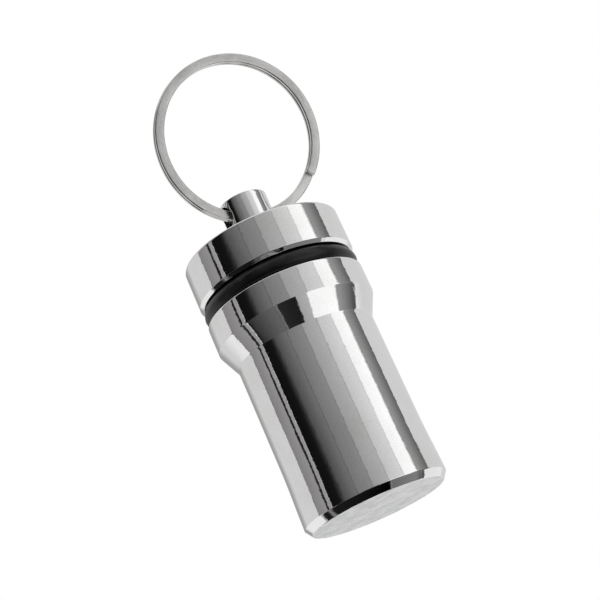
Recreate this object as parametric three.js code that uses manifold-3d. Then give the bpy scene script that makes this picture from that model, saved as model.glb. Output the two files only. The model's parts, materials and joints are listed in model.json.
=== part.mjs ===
// Keychain pill capsule: a turned metal case with a screw cap, a rubber sealing ring and a split ring.
// Millimetres, +Z up. The origin is the centre of the flat base, and +Z runs up the axis of the case.

import * as THREE from 'three';
import { mergeVertices } from 'three/addons/utils/BufferGeometryUtils.js';
import Module from 'manifold-3d';

const wasm = await Module();
wasm.setup();

// ---- Driving dimensions ----

const FACETS = 40;                       // flats around every turned surface

// Case
const BASE_RADIUS = 10.25;               // flat face that the capsule stands on
const BASE_CHAMFER_HEIGHT = 1.1;
const FOOT_RADIUS = 11.05;               // the body spreads slightly towards its foot
const FOOT_MIDDLE_RADIUS = 10.97;
const FOOT_MIDDLE_HEIGHT = 4.0;
const FOOT_TOP = 8.5;                    // above here the body is straight
const BODY_RADIUS = 10.8;
const BODY_TOP = 26.5;                   // where the body starts to flare out
const COLLAR_RADIUS = 12.5;
const COLLAR_BOTTOM = 30.1;
const COLLAR_TOP = 34.5;                 // the mouth of the case
const COLLAR_CHAMFER = 0.3;
const FLOOR_THICKNESS = 2.2;
const BORE_RADIUS = 8.75;                // pill space, and the crest of the inside thread
const MOUTH_RADIUS = 9.7;                // countersink that leads the thread in

// Cap
const CAP_RADIUS = 12.5;
const CAP_BOTTOM = 37.3;
const CAP_TOP = 44.0;
const CAP_TOP_CHAMFER = 0.35;
const CAP_LOWER_CHAMFER = 0.5;
const NECK_RADIUS = 9.6;                 // the sealing ring sits round the neck
const NECK_BOTTOM = 34.7;
const SPIGOT_BOTTOM = 28.0;
const SPIGOT_CHAMFER = 0.4;
const RECESS_RADIUS = 6.9;               // the spigot is hollow
const RECESS_TOP = 40.5;

// Boss on top of the cap, with the cross hole that the split ring hangs in
const BOSS_RADIUS = 3.85;
const BOSS_TOP = 51.85;
const BOSS_CHAMFER = 0.2;
const HOLE_RADIUS = 1.95;
const HOLE_HEIGHT = 49.5;                // axis of the cross hole above the base
const HOLE_AZIMUTH = 26;                 // degrees from +X
const HOLE_COUNTERSINK = 0.15;
const HOLE_FACETS = 32;

// Thread between case and cap: right-handed, one start
const PITCH = 1.5;
const THREAD_CREST_RADIUS = 9.35;        // outside thread on the spigot
const THREAD_ROOT_RADIUS = 8.55;
const THREAD_CREST_WIDTH = 0.25;
const THREAD_FLANK_SLOPE = Math.tan(Math.PI / 6);
const THREAD_TURNS = 3.5;
const THREAD_BOTTOM = 28.9;              // middle of the lowest end of the ridge
const GROOVE_CREST_RADIUS = 9.5;         // inside thread in the case
const GROOVE_CREST_WIDTH = 0.41;
const GROOVE_LEAD_TURNS = 0.3;           // how far the groove runs on below the ridge
const GROOVE_TURNS = 5.2;
const THREAD_FADE_TURNS = 0.12;          // the ridge tapers away over this part of a turn
const THREAD_END_SIZE = 0.2;             // share of its full section that the ridge keeps at its very ends

// Sealing ring
const SEAL_SECTION_RADIUS = 1.2;
const SEAL_CENTRE_RADIUS = 11.2;
const SEAL_SIDES = 12;

// Split ring: flat wire wound almost twice round, its two coils a hair apart
const RING_OUTER_RADIUS = 13.5;
const WIRE_WIDTH = 1.5;                  // across the flat, towards the centre
const WIRE_THICKNESS = 0.68;
const COIL_GAP = 0.08;
const RING_STEPS_PER_TURN = 40;
const RING_JOG = 30;                     // degrees over which the wire steps from one coil to the next
const RING_END_ANGLE = -30;              // degrees round the ring from its local +X to the front wire end
const RING_SKEW = 24;                    // degrees that the ring is turned about the vertical
const RING_TILT = 17;                    // degrees that it leans forward
const RING_LEAN = 10;                    // degrees that it leans sideways in its own plane
const RING_DROP = 0.5;                   // how far the wire lies below the axis of the hole

// Allowances for the boolean cuts and joins
const THREAD_ROOTING = 0.3;              // how far a thread's section reaches past the wall that it stands on
const CUTTER_OVERSHOOT = 1;              // how far the cross hole's cutter reaches past the boss
const MERGE_TOLERANCE = 1e-5;

// ---- Helpers ----

const degrees = THREE.MathUtils.degToRad;

// Turns a closed outline, given as [radius, height] pairs, about +Z.
function turned(outline, facets = FACETS) {
  const points = outline.map(([radius, height]) => new THREE.Vector2(radius, height));
  return new THREE.LatheGeometry(points, facets).rotateX(Math.PI / 2);
}

// A closed outline of [radius, height] pairs, which ends where it starts.
function closedOutline(outline) {
  return [...outline, outline[0]];
}

// Extrudes a section straight, and then bends every point with place(radial, axial, angle).
function swept(section, angleSpan, steps, place) {
  const shape = new THREE.Shape(section.map(([radial, axial]) => new THREE.Vector2(radial, axial)));
  const geometry = new THREE.ExtrudeGeometry(shape, { depth: angleSpan, steps, bevelEnabled: false });
  const position = geometry.getAttribute('position');
  for (let i = 0; i < position.count; i += 1) {
    // The sweep runs backwards round the axis, which keeps the faces pointing out.
    const angle = angleSpan - position.getZ(i);
    const [radial, axial] = place(position.getX(i), position.getY(i), angle);
    position.setXYZ(i, radial * Math.cos(angle), radial * Math.sin(angle), axial);
  }
  return geometry;
}

function toSolid(geometry) {
  const bare = geometry.clone();
  bare.deleteAttribute('normal');
  bare.deleteAttribute('uv');
  const merged = mergeVertices(bare, MERGE_TOLERANCE);
  return new wasm.Manifold(new wasm.Mesh({
    numProp: 3,
    vertProperties: new Float32Array(merged.getAttribute('position').array),
    triVerts: new Uint32Array(merged.getIndex().array),
  }));
}

function toGeometry(solid) {
  const mesh = solid.getMesh();
  const geometry = new THREE.BufferGeometry();
  geometry.setAttribute('position', new THREE.BufferAttribute(mesh.vertProperties, 3));
  geometry.setIndex(new THREE.BufferAttribute(mesh.triVerts, 1));
  geometry.computeVertexNormals();
  return geometry;
}

function named(name, geometry, material) {
  const mesh = new THREE.Mesh(geometry, material);
  mesh.name = name;
  return mesh;
}

// ---- Thread ----

// A thread's cross-section between an inner radius, buried in the part, and the crest.
function threadSection(buriedRadius, crestRadius, crestWidth) {
  const halfCrest = crestWidth / 2;
  const halfFoot = halfCrest + (crestRadius - buriedRadius) * THREAD_FLANK_SLOPE;
  return [
    [buriedRadius, -halfFoot],
    [crestRadius, -halfCrest],
    [crestRadius, halfCrest],
    [buriedRadius, halfFoot],
  ];
}

// A helical ridge whose middle starts at the given height at angle zero and climbs one pitch per turn.
function threadRidge(section, buriedRadius, startHeight, turns, fadeTurns) {
  const span = turns * 2 * Math.PI;
  const fadeSpan = fadeTurns * 2 * Math.PI;
  const place = (radial, axial, angle) => {
    const nearestEnd = Math.min(angle, span - angle);
    const fullness = fadeSpan > 0 ? Math.min(1, THREAD_END_SIZE + nearestEnd / fadeSpan) : 1;
    const climb = startHeight + PITCH * angle / (2 * Math.PI);
    return [buriedRadius + (radial - buriedRadius) * fullness, climb + axial * fullness];
  };
  return swept(section, span, Math.round(turns * FACETS), place);
}

// ---- Case ----

function makeCase() {
  const shell = turned([
    [0, 0],
    [BASE_RADIUS, 0],
    [FOOT_RADIUS, BASE_CHAMFER_HEIGHT],
    [FOOT_MIDDLE_RADIUS, FOOT_MIDDLE_HEIGHT],
    [BODY_RADIUS, FOOT_TOP],
    [BODY_RADIUS, BODY_TOP],
    [COLLAR_RADIUS, COLLAR_BOTTOM],
    [COLLAR_RADIUS, COLLAR_TOP - COLLAR_CHAMFER],
    [COLLAR_RADIUS - COLLAR_CHAMFER, COLLAR_TOP],
    [MOUTH_RADIUS, COLLAR_TOP],
    [BORE_RADIUS, COLLAR_TOP - (MOUTH_RADIUS - BORE_RADIUS)],
    [BORE_RADIUS, FLOOR_THICKNESS],
    [0, FLOOR_THICKNESS],
  ]);
  const buriedRadius = BORE_RADIUS - THREAD_ROOTING;
  const section = threadSection(buriedRadius, GROOVE_CREST_RADIUS, GROOVE_CREST_WIDTH);
  const start = THREAD_BOTTOM - GROOVE_LEAD_TURNS * PITCH;
  const groove = threadRidge(section, buriedRadius, start, GROOVE_TURNS, 0);
  groove.rotateZ(-GROOVE_LEAD_TURNS * 2 * Math.PI);
  return toGeometry(toSolid(shell).subtract(toSolid(groove)));
}

// ---- Cap ----

function makeCap() {
  const body = turned([
    [0, RECESS_TOP],
    [RECESS_RADIUS, RECESS_TOP],
    [RECESS_RADIUS, SPIGOT_BOTTOM],
    [THREAD_ROOT_RADIUS - SPIGOT_CHAMFER, SPIGOT_BOTTOM],
    [THREAD_ROOT_RADIUS, SPIGOT_BOTTOM + SPIGOT_CHAMFER],
    [THREAD_ROOT_RADIUS, NECK_BOTTOM],
    [NECK_RADIUS, NECK_BOTTOM],
    [NECK_RADIUS, CAP_BOTTOM],
    [CAP_RADIUS - CAP_LOWER_CHAMFER, CAP_BOTTOM],
    [CAP_RADIUS, CAP_BOTTOM + CAP_LOWER_CHAMFER],
    [CAP_RADIUS, CAP_TOP - CAP_TOP_CHAMFER],
    [CAP_RADIUS - CAP_TOP_CHAMFER, CAP_TOP],
    [BOSS_RADIUS, CAP_TOP],
    [BOSS_RADIUS, BOSS_TOP - BOSS_CHAMFER],
    [BOSS_RADIUS - BOSS_CHAMFER, BOSS_TOP],
    [0, BOSS_TOP],
  ]);
  const buriedRadius = THREAD_ROOT_RADIUS - THREAD_ROOTING;
  const section = threadSection(buriedRadius, THREAD_CREST_RADIUS, THREAD_CREST_WIDTH);
  const ridge = threadRidge(section, buriedRadius, THREAD_BOTTOM, THREAD_TURNS, THREAD_FADE_TURNS);
  return toGeometry(toSolid(body).add(toSolid(ridge)).subtract(toSolid(makeCrossHole())));
}

// The cutter for the cross hole: a cylinder that widens at both mouths.
function makeCrossHole() {
  const mouth = BOSS_RADIUS - HOLE_COUNTERSINK;
  const beyond = BOSS_RADIUS + CUTTER_OVERSHOOT;
  const flare = HOLE_RADIUS + (beyond - mouth);
  const cutter = turned([
    [0, -beyond],
    [flare, -beyond],
    [HOLE_RADIUS, -mouth],
    [HOLE_RADIUS, mouth],
    [flare, beyond],
    [0, beyond],
  ], HOLE_FACETS);
  cutter.rotateY(Math.PI / 2);
  cutter.rotateZ(degrees(HOLE_AZIMUTH));
  return cutter.translate(0, 0, HOLE_HEIGHT);
}

// ---- Sealing ring ----

function makeSeal() {
  const section = new THREE.EllipseCurve(
    SEAL_CENTRE_RADIUS,
    (COLLAR_TOP + CAP_BOTTOM) / 2,
    SEAL_SECTION_RADIUS,
    SEAL_SECTION_RADIUS,
  );
  const outline = section.getPoints(SEAL_SIDES).slice(0, SEAL_SIDES).map(({ x, y }) => [x, y]);
  return turned(closedOutline(outline));
}

// ---- Split ring ----

const COIL_STEP = WIRE_THICKNESS + COIL_GAP;
const RING_MIDDLE_RADIUS = RING_OUTER_RADIUS - WIRE_WIDTH / 2;

// The ring lies round its local +Z, with the front coil on the +Z side.
function makeSplitRing() {
  const halfWidth = WIRE_WIDTH / 2;
  const halfThickness = WIRE_THICKNESS / 2;
  const section = [
    [RING_MIDDLE_RADIUS - halfWidth, -halfThickness],
    [RING_MIDDLE_RADIUS + halfWidth, -halfThickness],
    [RING_MIDDLE_RADIUS + halfWidth, halfThickness],
    [RING_MIDDLE_RADIUS - halfWidth, halfThickness],
  ];
  const jog = degrees(RING_JOG);
  const span = 4 * Math.PI - jog;
  const place = (radial, axial, angle) => {
    const progress = (angle - (2 * Math.PI - jog)) / jog;
    const toBackCoil = THREE.MathUtils.smoothstep(progress, 0, 1);
    return [radial, axial + COIL_STEP * (0.5 - toBackCoil)];
  };
  const steps = Math.round(RING_STEPS_PER_TURN * span / (2 * Math.PI));
  return swept(section, span, steps, place).rotateZ(degrees(RING_END_ANGLE));
}

// Hangs the ring in the cross hole: turned about the vertical, leaning forward and sideways.
function placeSplitRing(ring) {
  ring.position.set(0, RING_MIDDLE_RADIUS, 0);
  const leaning = new THREE.Group();
  leaning.rotation.z = -degrees(RING_LEAN);
  leaning.add(ring);
  const upright = new THREE.Group();
  upright.rotation.x = degrees(90 + RING_TILT);
  upright.add(leaning);
  const skewed = new THREE.Group();
  skewed.rotation.z = degrees(RING_SKEW);
  skewed.position.set(0, 0, HOLE_HEIGHT - RING_DROP);
  skewed.add(upright);
  return skewed;
}

// ---- Materials ----

const polishedAluminium = new THREE.MeshStandardMaterial({ color: 0xd9dadc, roughness: 0.08, metalness: 1 });
const platedSteel = new THREE.MeshStandardMaterial({ color: 0xc4c2bc, roughness: 0.28, metalness: 1 });
const blackRubber = new THREE.MeshStandardMaterial({ color: 0x141414, roughness: 0.55, metalness: 0 });

// ---- Assembly ----

const capsule = new THREE.Group();
capsule.add(named('case', makeCase(), polishedAluminium));
capsule.add(named('sealing_ring', makeSeal(), blackRubber));
capsule.add(named('screw_cap', makeCap(), polishedAluminium));
capsule.add(placeSplitRing(named('split_ring', makeSplitRing(), platedSteel)));

export default capsule;
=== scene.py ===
import json
import math

import bmesh
import bpy
from mathutils import Euler, Matrix, Vector


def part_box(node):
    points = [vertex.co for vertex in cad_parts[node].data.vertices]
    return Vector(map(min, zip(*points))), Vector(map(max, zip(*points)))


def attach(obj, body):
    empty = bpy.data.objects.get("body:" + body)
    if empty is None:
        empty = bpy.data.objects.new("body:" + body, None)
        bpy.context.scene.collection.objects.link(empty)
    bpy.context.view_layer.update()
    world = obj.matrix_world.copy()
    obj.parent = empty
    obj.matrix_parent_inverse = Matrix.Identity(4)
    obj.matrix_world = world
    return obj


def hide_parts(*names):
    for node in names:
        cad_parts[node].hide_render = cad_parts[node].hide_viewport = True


# Keychain pill capsule: finished surfaces for the case, the screw cap, the sealing ring and the split ring.
# The frame is in metres, with +Z up the axis of the case. Shapes are worked out in millimetres and scaled
# once.

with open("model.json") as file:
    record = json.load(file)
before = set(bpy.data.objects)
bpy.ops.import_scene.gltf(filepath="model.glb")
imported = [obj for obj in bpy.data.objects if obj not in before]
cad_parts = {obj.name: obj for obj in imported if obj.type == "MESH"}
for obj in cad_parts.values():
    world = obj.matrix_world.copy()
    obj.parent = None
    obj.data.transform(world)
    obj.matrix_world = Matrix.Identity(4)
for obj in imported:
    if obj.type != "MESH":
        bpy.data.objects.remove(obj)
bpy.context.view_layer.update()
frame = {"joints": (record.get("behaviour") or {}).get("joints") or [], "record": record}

MM = 0.001

# ---- Sizes taken from the frame, in millimetres ----

_, case_high = (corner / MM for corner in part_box("case"))
cap_low, cap_high = (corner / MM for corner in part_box("screw_cap"))
seal_low, seal_high = (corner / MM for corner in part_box("sealing_ring"))
swing = next(joint for joint in frame["joints"] if joint["name"] == "ring_swing")
lift = next(row for row in frame["record"]["behaviour"]["couplings"] if row["joint"] == "seal_lift")

COLLAR_RADIUS = case_high.x
COLLAR_TOP = case_high.z
CAP_RADIUS = cap_high.x
BOSS_TOP = cap_high.z
SPIGOT_BOTTOM = cap_low.z
HOLE_HEIGHT = swing["pos_m"][2] / MM
HOLE_AZIMUTH = math.atan2(swing["axis"][1], swing["axis"][0])
PITCH = lift["ratio"] * 2 * math.pi / MM

# ---- Sizes of the finished shapes, in millimetres ----

# Case
BASE_RADIUS = 10.25
BASE_CHAMFER_HEIGHT = 1.1
FOOT_RADIUS = 11.05
FOOT_MIDDLE_RADIUS = 10.97
FOOT_MIDDLE_HEIGHT = 4.0
FOOT_TOP = 8.5
BODY_RADIUS = 10.8
BODY_TOP = 26.5
COLLAR_BOTTOM = 30.1
FLOOR_THICKNESS = 2.2
BORE_RADIUS = 8.75
MOUTH_RADIUS = 9.7

# Cap
CAP_BOTTOM = 37.3
CAP_TOP = 44.0
CAP_LOWER_CHAMFER = 0.5
NECK_RADIUS = 9.6
NECK_BOTTOM = 34.7
SPIGOT_CHAMFER = 0.4
RECESS_RADIUS = 6.9
RECESS_TOP = 40.5

# Boss with its cross hole
BOSS_RADIUS = 3.85
BOSS_FOOT_FILLET = 0.15
BOSS_EDGE_ROUNDING = 0.18
HOLE_RADIUS = 1.95
HOLE_ROUNDING = 0.12

# Thread
THREAD_CREST_RADIUS = 9.35
THREAD_ROOT_RADIUS = 8.55
THREAD_CREST_WIDTH = 0.25
THREAD_FLANK_SLOPE = math.tan(math.radians(30))
THREAD_TURNS = 3.5
THREAD_BOTTOM = 28.9
THREAD_FADE_TURNS = 0.12
GROOVE_CREST_RADIUS = 9.5
GROOVE_CREST_WIDTH = 0.41

# Sealing ring
SEAL_FLASH = 0.03        # height of the moulding line round its outside

# Split ring
RING_OUTER_RADIUS = 13.5
WIRE_WIDTH = 1.5
WIRE_THICKNESS = 0.68
RING_MIDDLE_RADIUS = RING_OUTER_RADIUS - WIRE_WIDTH / 2
WIRE_ROUNDING = 0.24
WIRE_END_TRIM = 0.12     # how much thinner and narrower the wire is at its cut ends
COIL_GAP = 0.08
RING_JOG = math.radians(30)
RING_END_ANGLE = math.radians(-30)
RING_SKEW = math.radians(24)
RING_TILT = math.radians(17)
RING_LEAN = math.radians(10)
RING_DROP = 0.5

# Fineness of the meshes
SEGMENTS = 128           # steps round every turned surface, half of them round each side of the boss
ARC_STEPS = 5            # steps in a rounded edge
SUPPORT = 0.06           # a loop this far from a rounded edge keeps the flat beside it flat
THREAD_STEP = 0.07       # height of a step on the threads
SLACK = 1e-4             # Blender's vectors are rounded to 32 bits, so radii are compared this loosely


# ---- Mesh helpers ----

def new_piece(name, mesh, body, node, material, place=Matrix.Identity(4)):
    """Puts a bmesh in place, scales it from millimetres and makes it a finished piece of the object."""
    bmesh.ops.remove_doubles(mesh, verts=mesh.verts, dist=1e-5)
    bmesh.ops.recalc_face_normals(mesh, faces=mesh.faces)
    mesh.transform(Matrix.Scale(MM, 4) @ place)
    data = bpy.data.meshes.new(name)
    mesh.to_mesh(data)
    mesh.free()
    data.polygons.foreach_set("use_smooth", [True] * len(data.polygons))
    data.materials.append(material)
    piece = bpy.data.objects.new(name, data)
    bpy.context.scene.collection.objects.link(piece)
    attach(piece, body)
    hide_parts(node)
    return piece


def rounded(corners):
    """An open outline of (radius, height, rounding) corners as points, with arcs and their support loops."""
    points = []
    last = len(corners) - 1
    for index, (radius, height, rounding) in enumerate(corners):
        corner = Vector((radius, height))
        if index in (0, last) or rounding == 0:
            points.append(corner)
            continue
        back = Vector(corners[index - 1][:2]) - corner
        ahead = Vector(corners[index + 1][:2]) - corner
        half_angle = back.angle(ahead) / 2
        reach = rounding / math.tan(half_angle)
        inward = (back.normalized() + ahead.normalized()).normalized()
        centre = corner + inward * rounding / math.sin(half_angle)
        start = corner + back.normalized() * reach - centre
        end = corner + ahead.normalized() * reach - centre
        if reach + 2 * SUPPORT < back.length / 2:
            points.append(corner + back.normalized() * (reach + SUPPORT))
        for step in range(ARC_STEPS + 1):
            points.append(centre + start.slerp(end, step / ARC_STEPS).normalized() * rounding)
        if reach + 2 * SUPPORT < ahead.length / 2:
            points.append(corner + ahead.normalized() * (reach + SUPPORT))
    return points


def subdivided(points, lowest, highest, step):
    """The same outline with short steps between two heights, for a thread."""
    result = [points[0]]
    for start, end in zip(points, points[1:]):
        middle = (start.y + end.y) / 2
        pieces = math.ceil(abs(end.y - start.y) / step) if lowest < middle < highest else 1
        result.extend(start.lerp(end, count / max(pieces, 1)) for count in range(1, max(pieces, 1) + 1))
    return result


def ring_of(mesh, radius, height, shape=None):
    """One ring of a turned surface, or a single point on the axis."""
    if radius < 1e-6:
        return [mesh.verts.new((0, 0, height))]
    verts = []
    for segment in range(SEGMENTS):
        turn = segment / SEGMENTS
        angle = HOLE_AZIMUTH - math.pi / 2 + turn * 2 * math.pi
        reach = shape(radius, height, angle) if shape else radius
        verts.append(mesh.verts.new((reach * math.cos(angle), reach * math.sin(angle), height)))
    return verts


def bridge(mesh, first, second):
    """Faces between two rings of vertices, one of which may be a single point."""
    count = max(len(first), len(second))
    for index in range(count):
        following = (index + 1) % count
        if len(first) == 1:
            mesh.faces.new((first[0], second[following], second[index]))
        elif len(second) == 1:
            mesh.faces.new((first[index], first[following], second[0]))
        else:
            mesh.faces.new((first[index], first[following], second[following], second[index]))


def lathe(mesh, points, shape=None):
    """Turns an outline about +Z, and returns its first and last rings."""
    rings = [ring_of(mesh, point.x, point.y, shape) for point in points]
    for lower, upper in zip(rings, rings[1:]):
        bridge(mesh, lower, upper)
    return rings[0], rings[-1]


# ---- Thread ----

def thread_height(height, angle, crest_width, depth):
    """How full the thread is at a height and angle, 0 at its foot and 1 at its crest, and its turn there."""
    phase = angle / (2 * math.pi)
    turn = round((height - THREAD_BOTTOM) / PITCH - phase) + phase
    away = abs(height - THREAD_BOTTOM - turn * PITCH)
    half_crest = crest_width / 2
    half_foot = half_crest + depth * THREAD_FLANK_SLOPE
    fullness = min(1, max(0, (half_foot - away) / (half_foot - half_crest)))
    smooth = fullness * fullness * (3 - 2 * fullness)
    return (fullness + smooth) / 2, turn


def ridged(radius, height, angle):
    """The spigot's wall with its raised thread, which tapers away at both ends."""
    lowest = THREAD_ROOT_RADIUS - SPIGOT_CHAMFER - SLACK
    if not lowest <= radius <= THREAD_ROOT_RADIUS + SLACK or height > NECK_BOTTOM - SLACK:
        return radius
    depth = THREAD_CREST_RADIUS - THREAD_ROOT_RADIUS
    fullness, turn = thread_height(height, angle, THREAD_CREST_WIDTH, depth)
    nearest_end = min(turn, THREAD_TURNS - turn)
    fade = min(1, max(0, nearest_end / THREAD_FADE_TURNS))
    return max(radius, THREAD_ROOT_RADIUS + depth * fullness * fade)


def grooved(radius, height, angle):
    """The bore's wall with its cut thread, which runs out through the mouth."""
    if not BORE_RADIUS - SLACK <= radius <= MOUTH_RADIUS + SLACK or height < THREAD_BOTTOM - PITCH:
        return radius
    depth = GROOVE_CREST_RADIUS - BORE_RADIUS
    fullness, turn = thread_height(height, angle, GROOVE_CREST_WIDTH, depth)
    fade = min(1, max(0, (turn + THREAD_FADE_TURNS * 3) / THREAD_FADE_TURNS))
    return max(radius, BORE_RADIUS + depth * fullness * fade)


# ---- Case ----

def make_case(material):
    corners = [
        (0, 0, 0),
        (BASE_RADIUS, 0, 0.08),
        (FOOT_RADIUS, BASE_CHAMFER_HEIGHT, 0.22),
        (FOOT_MIDDLE_RADIUS, FOOT_MIDDLE_HEIGHT, 200),
        (BODY_RADIUS, FOOT_TOP, 100),
        (BODY_RADIUS, BODY_TOP, 0.6),
        (COLLAR_RADIUS, COLLAR_BOTTOM, 0.5),
        (COLLAR_RADIUS, COLLAR_TOP, 0.22),
        (MOUTH_RADIUS, COLLAR_TOP, 0.08),
        (BORE_RADIUS, COLLAR_TOP - (MOUTH_RADIUS - BORE_RADIUS), 0),
        (BORE_RADIUS, THREAD_BOTTOM - PITCH, 0),
        (BORE_RADIUS, FLOOR_THICKNESS, 0.6),
        (0, FLOOR_THICKNESS, 0),
    ]
    points = rounded(corners)
    above = [index for index, point in enumerate(points) if point.y > COLLAR_BOTTOM]
    mouth = next(index for index in above if points[index].x <= MOUTH_RADIUS)
    inside = subdivided(points[mouth:], THREAD_BOTTOM - PITCH, COLLAR_TOP, THREAD_STEP)
    mesh = bmesh.new()
    lathe(mesh, points[:mouth] + inside, grooved)
    return new_piece("capsule_case", mesh, "case", "case", material)


# ---- Cap ----

def boss_edge_points(low, high):
    """The edge of one half of the boss, unrolled: (angle from the mouth, height), right side first."""
    half = SEGMENTS // 2
    side = SEGMENTS // 6
    quarter = math.pi / 2
    right = [(quarter, low + (high - low) * step / side) for step in range(side)]
    top = [(quarter - math.pi * step / half, high) for step in range(half)]
    left = [(-quarter, high - (high - low) * step / side) for step in range(side)]
    bottom = [(-quarter + math.pi * step / half, low) for step in range(half)]
    return [right, top, left, bottom]


def hole_angles(low, high):
    """Where round the hole each edge point belongs, so that lines between them never cross."""
    quarter = BOSS_RADIUS * math.pi / 2
    right_bottom = math.atan2(low - HOLE_HEIGHT, quarter)
    right_top = math.atan2(high - HOLE_HEIGHT, quarter)
    turns = [right_bottom, right_top, math.pi - right_top, math.pi - right_bottom, right_bottom + 2 * math.pi]
    angles = []
    for start, end, edge in zip(turns, turns[1:], boss_edge_points(low, high)):
        angles.extend(start + (end - start) * step / len(edge) for step in range(len(edge)))
    return angles


def make_boss_side(mesh, low, high, flip):
    """Half of the boss's wall, from its outer edge to the hole's rounded mouth. Returns the mouth's ring."""
    edge = [point for run in boss_edge_points(low, high) for point in run]
    angles = hole_angles(low, high)
    azimuth = HOLE_AZIMUTH + (math.pi if flip else 0)
    sense = -1 if flip else 1
    spread = [1, 0.82, 0.64, 0.48, 0.33, 0.2, 0.1, 0.04, 0]

    def on_wall(turn, height):
        angle = azimuth + sense * turn
        return Vector((BOSS_RADIUS * math.cos(angle), BOSS_RADIUS * math.sin(angle), height))

    def on_mouth(angle, radius):
        return math.asin(radius * math.cos(angle) / BOSS_RADIUS), HOLE_HEIGHT + radius * math.sin(angle)

    rings = []
    for share in spread:
        ring = []
        for (edge_turn, edge_height), angle in zip(edge, angles):
            turn, height = on_mouth(angle, HOLE_RADIUS + HOLE_ROUNDING)
            turn += (edge_turn - turn) * share
            height += (edge_height - height) * share
            ring.append(mesh.verts.new(on_wall(turn, height)))
        rings.append(ring)
    inward = Vector((-math.cos(azimuth), -math.sin(azimuth), 0)) * HOLE_ROUNDING
    for step in range(1, ARC_STEPS + 1):
        share = step / ARC_STEPS
        ring = []
        for angle in angles:
            outer = on_wall(*on_mouth(angle, HOLE_RADIUS + HOLE_ROUNDING))
            corner = on_wall(*on_mouth(angle, HOLE_RADIUS))
            before = outer.lerp(corner, share)
            after = corner.lerp(corner + inward, share)
            ring.append(mesh.verts.new(before.lerp(after, share)))
        rings.append(ring)
    rings.append([mesh.verts.new(vert.co + inward) for vert in rings[-1]])
    for outer, inner in zip(rings, rings[1:]):
        bridge(mesh, outer, inner)
    return rings[-1]


def make_cap(material):
    foot = CAP_TOP + BOSS_FOOT_FILLET
    shoulder = BOSS_TOP - BOSS_EDGE_ROUNDING
    lower = rounded([
        (0, RECESS_TOP, 0),
        (RECESS_RADIUS, RECESS_TOP, 0.4),
        (RECESS_RADIUS, SPIGOT_BOTTOM, 0.1),
        (THREAD_ROOT_RADIUS - SPIGOT_CHAMFER, SPIGOT_BOTTOM, 0.05),
        (THREAD_ROOT_RADIUS, SPIGOT_BOTTOM + SPIGOT_CHAMFER, 0),
        (THREAD_ROOT_RADIUS, NECK_BOTTOM, 0),
        (NECK_RADIUS, NECK_BOTTOM, 0.08),
        (NECK_RADIUS, CAP_BOTTOM, 0.1),
        (CAP_RADIUS - CAP_LOWER_CHAMFER, CAP_BOTTOM, 0.06),
        (CAP_RADIUS, CAP_BOTTOM + CAP_LOWER_CHAMFER, 0.1),
        (CAP_RADIUS, CAP_TOP, 0.3),
        (BOSS_RADIUS, CAP_TOP, BOSS_FOOT_FILLET),
        (BOSS_RADIUS, BOSS_TOP, 0),
    ])
    lower = [point for point in lower if point.y <= foot + 1e-6]
    spigot = next(index for index, point in enumerate(lower) if point.x > RECESS_RADIUS + 1)
    neck = next(index for index, point in enumerate(lower) if point.x > THREAD_ROOT_RADIUS + 0.1)
    threaded = subdivided(lower[spigot:neck], SPIGOT_BOTTOM, NECK_BOTTOM, THREAD_STEP)
    mesh = bmesh.new()
    lathe(mesh, lower[:spigot] + threaded + lower[neck:], ridged)
    mouths = [make_boss_side(mesh, foot, shoulder, flip) for flip in (False, True)]
    bridge(mesh, *mouths)
    top = rounded([(BOSS_RADIUS, CAP_TOP, 0), (BOSS_RADIUS, BOSS_TOP, BOSS_EDGE_ROUNDING), (0, BOSS_TOP, 0)])
    lathe(mesh, [point for point in top if point.y >= shoulder - 1e-6])
    return new_piece("capsule_cap", mesh, "cap", "screw_cap", material)


# ---- Sealing ring ----

def make_seal(material):
    centre_height = (seal_low.z + seal_high.z) / 2
    half_height = (CAP_BOTTOM - COLLAR_TOP) / 2 - SEAL_FLASH
    half_width = (seal_high.x - NECK_RADIUS) / 2 - 2 * SEAL_FLASH
    centre_radius = seal_high.x - half_width - SEAL_FLASH
    steps = 72
    points = []
    for step in range(steps + 1):
        angle = 2 * math.pi * step / steps
        flash = SEAL_FLASH if step in (0, steps) else 0
        radius = centre_radius + (half_width + flash) * math.cos(angle)
        points.append(Vector((radius, centre_height + half_height * math.sin(angle))))
    mesh = bmesh.new()
    lathe(mesh, points)
    return new_piece("rubber_seal", mesh, "seal", "sealing_ring", material)


# ---- Split ring ----

def wire_section():
    """The flat wire's rounded section, as (towards the outside, along the ring's axis) offsets."""
    across = WIRE_WIDTH / 2 - WIRE_ROUNDING
    along = WIRE_THICKNESS / 2 - WIRE_ROUNDING
    points = []
    for quarter, (side, face) in enumerate([(1, 1), (-1, 1), (-1, -1), (1, -1)]):
        for step in range(ARC_STEPS + 1):
            angle = (quarter + step / ARC_STEPS) * math.pi / 2
            points.append((
                side * across + WIRE_ROUNDING * math.cos(angle),
                face * along + WIRE_ROUNDING * math.sin(angle),
            ))
    return points


def ring_place():
    """Takes the split ring from lying round the origin to where it hangs in the hole."""
    hung = Matrix.Translation((0, 0, HOLE_HEIGHT - RING_DROP))
    turned = Matrix.Rotation(RING_SKEW, 4, "Z") @ Matrix.Rotation(math.pi / 2 + RING_TILT, 4, "X")
    leaning = Matrix.Rotation(-RING_LEAN, 4, "Z")
    return hung @ turned @ leaning @ Matrix.Translation((0, RING_MIDDLE_RADIUS, 0))


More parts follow.
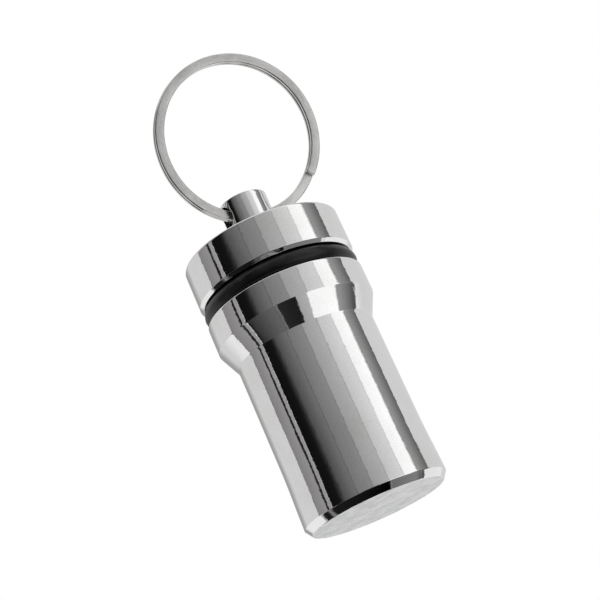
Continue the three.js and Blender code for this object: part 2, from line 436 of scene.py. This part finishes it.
def make_split_ring(material):
    coil_step = WIRE_THICKNESS + COIL_GAP
    span = 4 * math.pi - RING_JOG
    steps = 400
    end_steps = [0, 0.04, 0.1, 0.2]
    end_length = end_steps[-1] / RING_MIDDLE_RADIUS
    stations = [end_length * share / end_steps[-1] for share in end_steps]
    inner_span = span - 2 * end_length
    stations += [end_length + inner_span * step / steps for step in range(1, steps)]
    stations += [span - station for station in reversed(stations[:len(end_steps)])]
    mesh = bmesh.new()
    rings = []
    for angle in stations:
        progress = (angle - (2 * math.pi - RING_JOG)) / RING_JOG
        progress = min(1, max(0, progress))
        axial = coil_step * (0.5 - progress * progress * (3 - 2 * progress))
        from_end = min(angle, span - angle) * RING_MIDDLE_RADIUS
        trim = WIRE_END_TRIM * max(0, 1 - from_end / end_steps[-1]) ** 2
        ring = []
        for across, along in wire_section():
            radius = RING_MIDDLE_RADIUS + across * (1 - trim / WIRE_WIDTH * 2)
            height = axial + along * (1 - trim / WIRE_THICKNESS * 2)
            turn = angle + RING_END_ANGLE
            ring.append(mesh.verts.new((radius * math.cos(turn), radius * math.sin(turn), height)))
        rings.append(ring)
    for first, second in zip(rings, rings[1:]):
        bridge(mesh, first, second)
    mesh.faces.new(reversed(rings[0]))
    mesh.faces.new(rings[-1])
    return new_piece("key_ring", mesh, "ring", "split_ring", material, ring_place())


# ---- Material helpers ----

class Nodes:
    """A short way to add and join the nodes of one material or world."""

    def __init__(self, tree):
        self.tree = tree
        tree.nodes.clear()

    def add(self, kind, inputs=None, **settings):
        node = self.tree.nodes.new(kind)
        for name, value in settings.items():
            setattr(node, name, value)
        for name, value in (inputs or {}).items():
            if isinstance(value, bpy.types.NodeSocket):
                self.tree.links.new(value, node.inputs[name])
            else:
                node.inputs[name].default_value = value
        return node

    def math(self, operation, first, second=0.0, clamp=False):
        node = self.add("ShaderNodeMath", {0: first, 1: second}, operation=operation, use_clamp=clamp)
        return node.outputs[0]

    def map_range(self, kind, value, ends, results):
        names = {"Value": value, "From Min": ends[0], "From Max": ends[1]}
        names.update({"To Min": results[0], "To Max": results[1]})
        return self.add("ShaderNodeMapRange", names, interpolation_type=kind).outputs[0]

    def between(self, value, low, high, low_result=0.0, high_result=1.0):
        return self.map_range("SMOOTHSTEP", value, (low, high), (low_result, high_result))

    def straight(self, value, low, high, low_result, high_result):
        return self.map_range("LINEAR", value, (low, high), (low_result, high_result))

    def mix(self, share, first, second):
        return self.add("ShaderNodeMix", {0: share, 2: first, 3: second}, data_type="FLOAT").outputs[0]

    def noise(self, vector, scale, detail=3.0, roughness=0.5):
        names = {"Vector": vector, "Scale": scale, "Detail": detail, "Roughness": roughness}
        return self.add("ShaderNodeTexNoise", names).outputs["Fac"]

    def stretched(self, vector, scale):
        names = {0: vector, 1: scale}
        return self.add("ShaderNodeVectorMath", names, operation="MULTIPLY").outputs[0]

    def blend(self, share, first, second):
        node = self.add("ShaderNodeMix", data_type="RGBA")
        for socket, value in zip((node.inputs[0], node.inputs[6], node.inputs[7]), (share, first, second)):
            if isinstance(value, bpy.types.NodeSocket):
                self.tree.links.new(value, socket)
            else:
                socket.default_value = value
        return node.outputs[2]

    def bump(self, height, distance, strength=1.0, normal=None):
        names = {"Height": height, "Distance": distance, "Strength": strength}
        if normal is not None:
            names["Normal"] = normal
        return self.add("ShaderNodeBump", names).outputs[0]


def new_material(name):
    material = bpy.data.materials.new(name)
    material.use_nodes = True
    return material, Nodes(material.node_tree)


def grey(value, tint=(1.0, 1.0, 1.0)):
    return (value * tint[0], value * tint[1], value * tint[2], 1.0)


# ---- Materials ----

def turned_coordinates(nodes, position):
    """(radius, 0, height): a pattern on these runs in circles, as the marks of a lathe do."""
    split = nodes.add("ShaderNodeSeparateXYZ", {0: position})
    squares = [nodes.math("MULTIPLY", split.outputs[axis], split.outputs[axis]) for axis in (0, 1)]
    radius = nodes.math("SQRT", nodes.math("ADD", *squares))
    rings = nodes.add("ShaderNodeCombineXYZ", {"X": radius, "Z": split.outputs[2]})
    return rings.outputs[0], split.outputs[2]


def polished_aluminium(name, matte_below=None):
    """Bright turned aluminium. Below matte_below, in metres, the flat end is dull and slightly mottled."""
    material, nodes = new_material(name)
    place = nodes.add("ShaderNodeTexCoord")
    position = place.outputs["Object"]
    rings, height = turned_coordinates(nodes, position)
    lathe_marks = nodes.noise(rings, 9000, 2.0, 0.6)
    waves = nodes.noise(nodes.stretched(position, (1, 1, 1.3)), 950, 2.0, 0.5)
    haze = nodes.noise(position, 160, 4.0, 0.6)
    specks = nodes.noise(position, 2600, 3.0, 0.7)
    grain = nodes.noise(position, 5200, 2.0, 0.5)
    clean = grey(0.90, (1, 1, 1.005))
    hazy = grey(0.85, (1, 0.995, 0.985))
    colour = nodes.blend(nodes.between(haze, 0.35, 0.75), clean, hazy)
    colour = nodes.blend(nodes.between(grain, 0.3, 0.5, 0.16, 0.0), colour, grey(0.35))
    streaks = nodes.between(lathe_marks, 0.4, 0.7, 0.035, 0.075)
    roughness = nodes.math("ADD", streaks, nodes.between(haze, 0.5, 0.8, 0.0, 0.05))
    normal = nodes.bump(waves, 0.00001, 1.0)
    normal = nodes.bump(lathe_marks, 0.0000006, 1.0, normal)
    if matte_below is not None:
        facing = nodes.add("ShaderNodeSeparateXYZ", {0: place.outputs["Normal"]}).outputs[2]
        down = nodes.between(facing, -0.995, -0.97, 1.0, 0.0)
        low = nodes.between(height, matte_below, matte_below * 2, 1.0, 0.0)
        matte = nodes.math("MULTIPLY", down, low)
        blotches = nodes.noise(position, 330, 5.0, 0.7)
        dull = nodes.blend(nodes.between(blotches, 0.36, 0.64), grey(0.62, (1, 1.01, 1.02)), grey(0.97))
        colour = nodes.blend(matte, colour, dull)
        dull_roughness = nodes.between(blotches, 0.35, 0.7, 0.38, 0.55)
        roughness = nodes.mix(matte, roughness, dull_roughness)
        pits = nodes.math("MULTIPLY", nodes.noise(position, 1500, 3.0, 0.7), matte)
        normal = nodes.bump(pits, 0.00003, 0.6, normal)
    scratches = nodes.between(specks, 0.68, 0.8, 0.0, 0.12)
    roughness = nodes.math("ADD", roughness, scratches, clamp=True)
    shader = nodes.add("ShaderNodeBsdfPrincipled", {
        "Base Color": colour,
        "Metallic": 1.0,
        "Roughness": roughness,
        "Normal": normal,
    })
    nodes.add("ShaderNodeOutputMaterial", {"Surface": shader.outputs[0]})
    return material


def black_rubber(name):
    """Moulded rubber: near black, with a fine grain and a faint bloom."""
    material, nodes = new_material(name)
    position = nodes.add("ShaderNodeTexCoord").outputs["Object"]
    bloom = nodes.noise(position, 500, 4.0, 0.6)
    grain = nodes.noise(position, 6000, 3.0, 0.6)
    colour = nodes.blend(nodes.between(bloom, 0.4, 0.75), grey(0.004), grey(0.011, (1, 1, 1.02)))
    roughness = nodes.between(bloom, 0.3, 0.7, 0.24, 0.36)
    shader = nodes.add("ShaderNodeBsdfPrincipled", {
        "Base Color": colour,
        "Roughness": roughness,
        "Specular IOR Level": 0.32,
        "Normal": nodes.bump(grain, 0.000012, 0.5),
    })
    nodes.add("ShaderNodeOutputMaterial", {"Surface": shader.outputs[0]})
    return material


def brushed_nickel(name):
    """Plated wire: the flats are brushed along the wire, and the rounded edges are smoother."""
    material, nodes = new_material(name)
    place = nodes.add("ShaderNodeTexCoord")
    centre, turned, _ = ring_place().decompose()
    back = {"Vector": place.outputs["Object"], "Location": centre * MM, "Rotation": turned.to_euler()}
    position = nodes.add("ShaderNodeMapping", back, vector_type="TEXTURE").outputs[0]
    back = {"Vector": place.outputs["Normal"], "Rotation": turned.to_euler()}
    normal = nodes.add("ShaderNodeMapping", back, vector_type="TEXTURE").outputs[0]
    rings, _ = turned_coordinates(nodes, position)
    split = nodes.add("ShaderNodeSeparateXYZ", {0: position})
    angle = nodes.math("ARCTAN2", split.outputs[1], split.outputs[0])
    radius = nodes.add("ShaderNodeSeparateXYZ", {0: rings}).outputs[0]
    along = nodes.add("ShaderNodeCombineXYZ", {
        "X": nodes.math("MULTIPLY", radius, 9000.0),
        "Y": nodes.math("MULTIPLY", angle, 9.0),
        "Z": nodes.math("MULTIPLY", split.outputs[2], 1500.0),
    }).outputs[0]
    brushing = nodes.noise(along, 1.0, 3.0, 0.6)
    tone = nodes.noise(position, 260, 3.0, 0.55)
    facing = nodes.math("ABSOLUTE", nodes.add("ShaderNodeSeparateXYZ", {0: normal}).outputs[2])
    flat = nodes.between(facing, 0.75, 0.97)
    tone = nodes.between(tone, 0.3, 0.7)
    bright = nodes.blend(tone, grey(0.62, (1, 0.995, 0.975)), grey(0.72, (1, 0.995, 0.98)))
    dark = nodes.blend(tone, grey(0.42, (1, 0.99, 0.96)), grey(0.54, (1, 0.99, 0.965)))
    flats = nodes.blend(nodes.between(brushing, 0.3, 0.72), dark, bright)
    edges = nodes.blend(tone, grey(0.62, (1, 0.99, 0.97)), grey(0.82, (1, 0.99, 0.97)))
    colour = nodes.blend(flat, edges, flats)
    brushed = nodes.math("MULTIPLY", flat, nodes.between(brushing, 0.2, 0.8, 0.14, 0.3))
    roughness = nodes.math("ADD", brushed, 0.08)
    lines = nodes.math("MULTIPLY", brushing, flat)
    shader = nodes.add("ShaderNodeBsdfPrincipled", {
        "Base Color": colour,
        "Metallic": 1.0,
        "Roughness": roughness,
        "Normal": nodes.bump(lines, 0.000012, 0.5),
    })
    nodes.add("ShaderNodeOutputMaterial", {"Surface": shader.outputs[0]})
    return material


# ---- Studio ----

# Cards and boards that stand round the object for its polished metal to mirror. They are listed with
# angles in steps of 5 degrees and brightness in steps of 0.05. Azimuth 0 is the side of the camera and 90 is
# +X, and height is measured from the horizon. Brightness is 0 to 1 as a display shows it. A later card stands
# in front of an earlier one, and the boards overlap, so that no wall shows between them.
CARDS = [
    # azimuth from, to, height from, to, width of the soft edge, brightness on the left, on the right
    (-180, -135, -10, 90, 20, 0.60, 0.60),    # shadowed corner of the room, behind on the left
    (-95, -65, -90, 90, 1, 0.50, 0.60),       # rosy board
    (-75, -70, -90, 90, 1, 0.10, 0.10),       # dark gap in it
    (-65, -30, -90, 90, 1, 0.05, 0.10),       # black flag
    (-50, -5, -90, 90, 10, 0.20, 0.50),       # grey boards, lighter to the right
    (-20, 15, -90, 90, 1, 0.45, 0.55),
    (5, 40, -90, 90, 1, 0.60, 0.70),
    (30, 65, -90, 90, 1, 0.75, 0.85),
    (55, 80, -90, 90, 1, 0.95, 1.00),         # softbox
    (80, 105, -90, 90, 1, 0.60, 0.35),        # stand beside the softbox
    (-65, -15, -40, -10, 5, 0.15, 0.40),      # lower down: a dim board under the flag
    (-15, 15, -40, -10, 1, 0.15, 0.10),       # the dark foot of the tripod
    (30, 75, -40, -10, 1, 0.95, 1.00),        # the lower part of the softbox, nearer the middle
    (75, 110, -40, -10, 1, 0.60, 0.20),       # the foot of the stand
    (-90, 50, -70, -40, 5, 0.10, 0.00),       # dark edge of the table
    (45, 110, -70, -40, 5, 0.40, 0.50),       # grey cloth on the right of the table
    (-180, -90, -70, -35, 5, 0.10, 0.10),     # shadow on the left of the table
    (-180, 110, -90, -70, 1, 0.05, 0.05),     # darkness under the table
    (-65, -25, -90, -70, 5, 0.40, 0.50),      # a dim strip in it
    (20, 75, -90, -70, 5, 0.95, 0.95),        # a bright strip in it
]
RIM_WIDTH = 1.0          # degrees of darker edge at each side of a card
RIM_SHADE = 0.55
HEIGHT_SOFTNESS = 3.0
FULL_HEIGHT = 180
WALL_BRIGHTNESS = 0.80
TABLE_BRIGHTNESS = 0.90
TABLE_EDGE = (-15, -5)
CEILING_BRIGHTNESS = 0.85
CEILING_EDGE = (50, 60)
PINK = (1.0, 0.965, 0.97)
PINK_BOARD = (-95, -70)


def light_of(brightness):
    """The light that a display shows as this brightness, seen in metal that reflects nine tenths of it."""
    reflected = ((brightness + 0.055) / 1.055) ** 2.4 if brightness > 0.04 else brightness / 12.92
    return reflected / 0.88


def window(nodes, value, low, high, soft):
    """1 between low and high, falling to 0 over a soft edge just inside them."""
    from_middle = nodes.math("ABSOLUTE", nodes.math("SUBTRACT", value, (low + high) / 2))
    half = (high - low) / 2
    return nodes.straight(from_middle, half - soft, half, 1.0, 0.0)


def put_up_card(nodes, light, azimuth, height, card):
    """The light from all round, with one more card in front of it. Its side edges are a little darker."""
    first, last, lowest, highest, soft, left, right = card
    board = nodes.straight(azimuth, first, last, light_of(left), light_of(right))
    face = window(nodes, azimuth, first + RIM_WIDTH, last - RIM_WIDTH, soft)
    shaded = nodes.math("MULTIPLY", board, nodes.straight(face, 0.0, 1.0, RIM_SHADE, 1.0))
    inside = window(nodes, azimuth, first, last, soft)
    if highest - lowest < FULL_HEIGHT:
        upright = window(nodes, height, lowest, highest, HEIGHT_SOFTNESS)
        inside = nodes.math("MULTIPLY", inside, upright)
    return nodes.mix(inside, light, shaded)


def make_world():
    world = bpy.data.worlds.new("studio")
    bpy.context.scene.world = world
    world.use_nodes = True
    nodes = Nodes(world.node_tree)
    direction = nodes.add("ShaderNodeTexCoord").outputs["Generated"]
    split = nodes.add("ShaderNodeSeparateXYZ", {0: direction})
    toward = nodes.math("MULTIPLY", split.outputs[1], -1.0)
    azimuth = nodes.math("MULTIPLY", nodes.math("ARCTAN2", split.outputs[0], toward), 180 / math.pi)
    height = nodes.math("MULTIPLY", nodes.math("ARCSINE", split.outputs[2]), 180 / math.pi)
    light = nodes.between(height, *TABLE_EDGE, light_of(TABLE_BRIGHTNESS), light_of(WALL_BRIGHTNESS))
    for card in CARDS:
        light = put_up_card(nodes, light, azimuth, height, card)
    light = nodes.mix(nodes.between(height, *CEILING_EDGE), light, light_of(CEILING_BRIGHTNESS))
    tint = nodes.blend(window(nodes, azimuth, *PINK_BOARD, 1.0), grey(1.0), grey(1.0, PINK))
    around = nodes.add("ShaderNodeBackground", {"Color": tint, "Strength": light})
    behind = nodes.add("ShaderNodeBackground", {"Color": grey(1.0)})
    seen = nodes.add("ShaderNodeLightPath").outputs["Is Camera Ray"]
    both = nodes.add("ShaderNodeMixShader", {0: seen, 1: around.outputs[0], 2: behind.outputs[0]})
    nodes.add("ShaderNodeOutputWorld", {"Surface": both.outputs[0]})


FLOOR_FADE = (0.05, 0.25)    # metres from the object over which the floor fades into the white around it


def make_floor():
    """A pale floor under the base. It has no underside, so the capsule can also be seen from below."""
    mesh = bmesh.new()
    bmesh.ops.create_grid(mesh, x_segments=1, y_segments=1, size=0.6)
    data = bpy.data.meshes.new("floor")
    mesh.to_mesh(data)
    mesh.free()
    floor = bpy.data.objects.new("floor", data)
    bpy.context.scene.collection.objects.link(floor)
    floor.location.z = -0.00005
    material, nodes = new_material("pale_floor")
    position = nodes.add("ShaderNodeTexCoord").outputs["Object"]
    tone = nodes.noise(position, 40, 3.0, 0.5)
    colour = nodes.blend(nodes.between(tone, 0.3, 0.7), grey(0.93), grey(0.96))
    paper = nodes.add("ShaderNodeBsdfDiffuse", {"Color": colour})
    nothing = nodes.add("ShaderNodeBsdfTransparent")
    underside = nodes.add("ShaderNodeNewGeometry").outputs["Backfacing"]
    distance = nodes.add("ShaderNodeVectorMath", {0: position}, operation="LENGTH").outputs["Value"]
    hidden = nodes.math("MAXIMUM", underside, nodes.between(distance, *FLOOR_FADE))
    sided = nodes.add("ShaderNodeMixShader", {0: hidden, 1: paper.outputs[0], 2: nothing.outputs[0]})
    nodes.add("ShaderNodeOutputMaterial", {"Surface": sided.outputs[0]})
    data.materials.append(material)
    floor.visible_glossy = False
    floor.visible_diffuse = False
    floor.visible_shadow = False


def make_light(name, location, size, power):
    """A large soft light that points at the object. Polished metal doesn't mirror it."""
    data = bpy.data.lights.new(name, "AREA")
    data.size = size
    data.energy = power
    light = bpy.data.objects.new(name, data)
    bpy.context.scene.collection.objects.link(light)
    light.location = location
    aim = Vector((0, 0, COLLAR_TOP * MM)) - Vector(location)
    light.rotation_euler = aim.to_track_quat("-Z", "Y").to_euler()
    light.visible_glossy = False
    light.visible_camera = False


# ---- Camera ----

CAMERA_PLACE = (0.0, -0.19386, -0.03132)
CAMERA_LENS = 81.4
CAMERA_YAW = 0.0101
CAMERA_PITCH = 0.3224
CAMERA_ROLL = -0.4235


def make_camera():
    data = bpy.data.cameras.new("camera")
    data.sensor_width = 36.0
    data.lens = CAMERA_LENS
    data.clip_start = 0.01
    camera = bpy.data.objects.new("camera", data)
    bpy.context.scene.collection.objects.link(camera)
    turned = Euler((math.pi / 2 + CAMERA_PITCH, 0, -CAMERA_YAW)).to_matrix().to_4x4()
    rolled = Matrix.Rotation(CAMERA_ROLL, 4, "Z")
    camera.matrix_world = Matrix.Translation(CAMERA_PLACE) @ turned @ rolled
    bpy.context.scene.camera = camera


# ---- The whole scene ----

case_metal = polished_aluminium("case_aluminium", matte_below=0.00002)
cap_metal = polished_aluminium("cap_aluminium")
make_case(case_metal)
make_cap(cap_metal)
make_seal(black_rubber("seal_rubber"))
make_split_ring(brushed_nickel("ring_nickel"))
make_floor()
make_light("key_light", (-0.25, -0.25, 0.45), 0.35, 3.0)
make_light("fill_light", (0.35, -0.1, 0.3), 0.35, 1.2)
make_world()
make_camera()
bpy.context.scene.view_settings.view_transform = "Standard"
